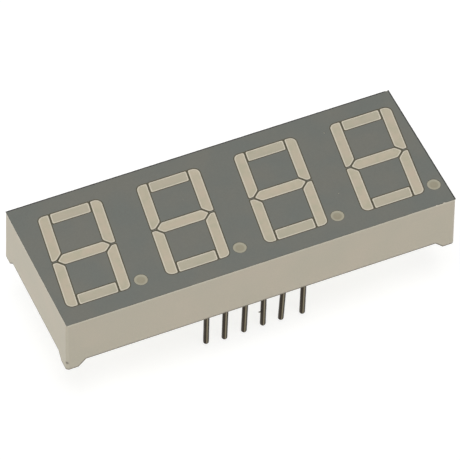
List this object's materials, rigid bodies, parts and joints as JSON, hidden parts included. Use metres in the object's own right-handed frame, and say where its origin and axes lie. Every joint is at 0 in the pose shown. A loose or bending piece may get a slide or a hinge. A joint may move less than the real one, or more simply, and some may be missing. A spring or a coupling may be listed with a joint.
{
  "type": "seven segment display module",
  "caption": "Flat light-emitting numeric display with slanted seven segment digits, decimal points, a grey printed face, a white moulded housing on corner feet, and two rows of round pins.",
  "frame": {"origin": "under the middle of the module, in the plane of the pin tips", "axes": "+Z out of the printed face, +X along the row of digits as they are read, +Y to the tops of the digits"},
  "size_m": [0.0506, 0.0194, 0.0146],
  "materials": {
    "housing_plastic": "white PBT, moulded with a light satin texture",
    "face_ink": "matt warm grey screen-printed ink",
    "lens_epoxy": "milky diffusing epoxy, cast flush with the face",
    "pour_epoxy": "poured translucent epoxy with a glossy skin",
    "board": "glass-fibre laminate with a green solder mask",
    "copper": "etched copper foil",
    "solder": "bright tin solder",
    "tinned_pin": "tin-dipped wire, dulled",
    "led_chip": "sawn semiconductor chip",
    "gold_wire": "drawn gold bond wire"
  },
  "bodies": {
    "root": {"reflector_housing": "housing_plastic", "face_ink": "face_ink", "circuit_board": "board", "back_potting": "pour_epoxy", "board_front_copper": "copper", "board_back_copper": "copper", "solder_joints": "solder", "pin_1": "tinned_pin", "pin_2": "tinned_pin", "pin_3": "tinned_pin", "pin_4": "tinned_pin", "pin_5": "tinned_pin", "pin_6": "tinned_pin", "pin_7": "tinned_pin", "pin_8": "tinned_pin", "pin_9": "tinned_pin", "pin_10": "tinned_pin", "pin_11": "tinned_pin", "pin_12": "tinned_pin", "digit_1_segment_a": "lens_epoxy", "digit_1_segment_b": "lens_epoxy", "digit_1_segment_c": "lens_epoxy", "digit_1_segment_d": "lens_epoxy", "digit_1_segment_e": "lens_epoxy", "digit_1_segment_f": "lens_epoxy", "digit_1_segment_g": "lens_epoxy", "digit_1_decimal_point": "lens_epoxy", "digit_1_led_chips": "led_chip", "digit_1_bond_wires": "gold_wire", "digit_2_segment_a": "lens_epoxy", "digit_2_segment_b": "lens_epoxy", "digit_2_segment_c": "lens_epoxy", "digit_2_segment_d": "lens_epoxy", "digit_2_segment_e": "lens_epoxy", "digit_2_segment_f": "lens_epoxy", "digit_2_segment_g": "lens_epoxy", "digit_2_decimal_point": "lens_epoxy", "digit_2_led_chips": "led_chip", "digit_2_bond_wires": "gold_wire", "digit_3_segment_a": "lens_epoxy", "digit_3_segment_b": "lens_epoxy", "digit_3_segment_c": "lens_epoxy", "digit_3_segment_d": "lens_epoxy", "digit_3_segment_e": "lens_epoxy", "digit_3_segment_f": "lens_epoxy", "digit_3_segment_g": "lens_epoxy", "digit_3_decimal_point": "lens_epoxy", "digit_3_led_chips": "led_chip", "digit_3_bond_wires": "gold_wire", "digit_4_segment_a": "lens_epoxy", "digit_4_segment_b": "lens_epoxy", "digit_4_segment_c": "lens_epoxy", "digit_4_segment_d": "lens_epoxy", "digit_4_segment_e": "lens_epoxy", "digit_4_segment_f": "lens_epoxy", "digit_4_segment_g": "lens_epoxy", "digit_4_decimal_point": "lens_epoxy", "digit_4_led_chips": "led_chip", "digit_4_bond_wires": "gold_wire"}
  },
  "joints": []
}
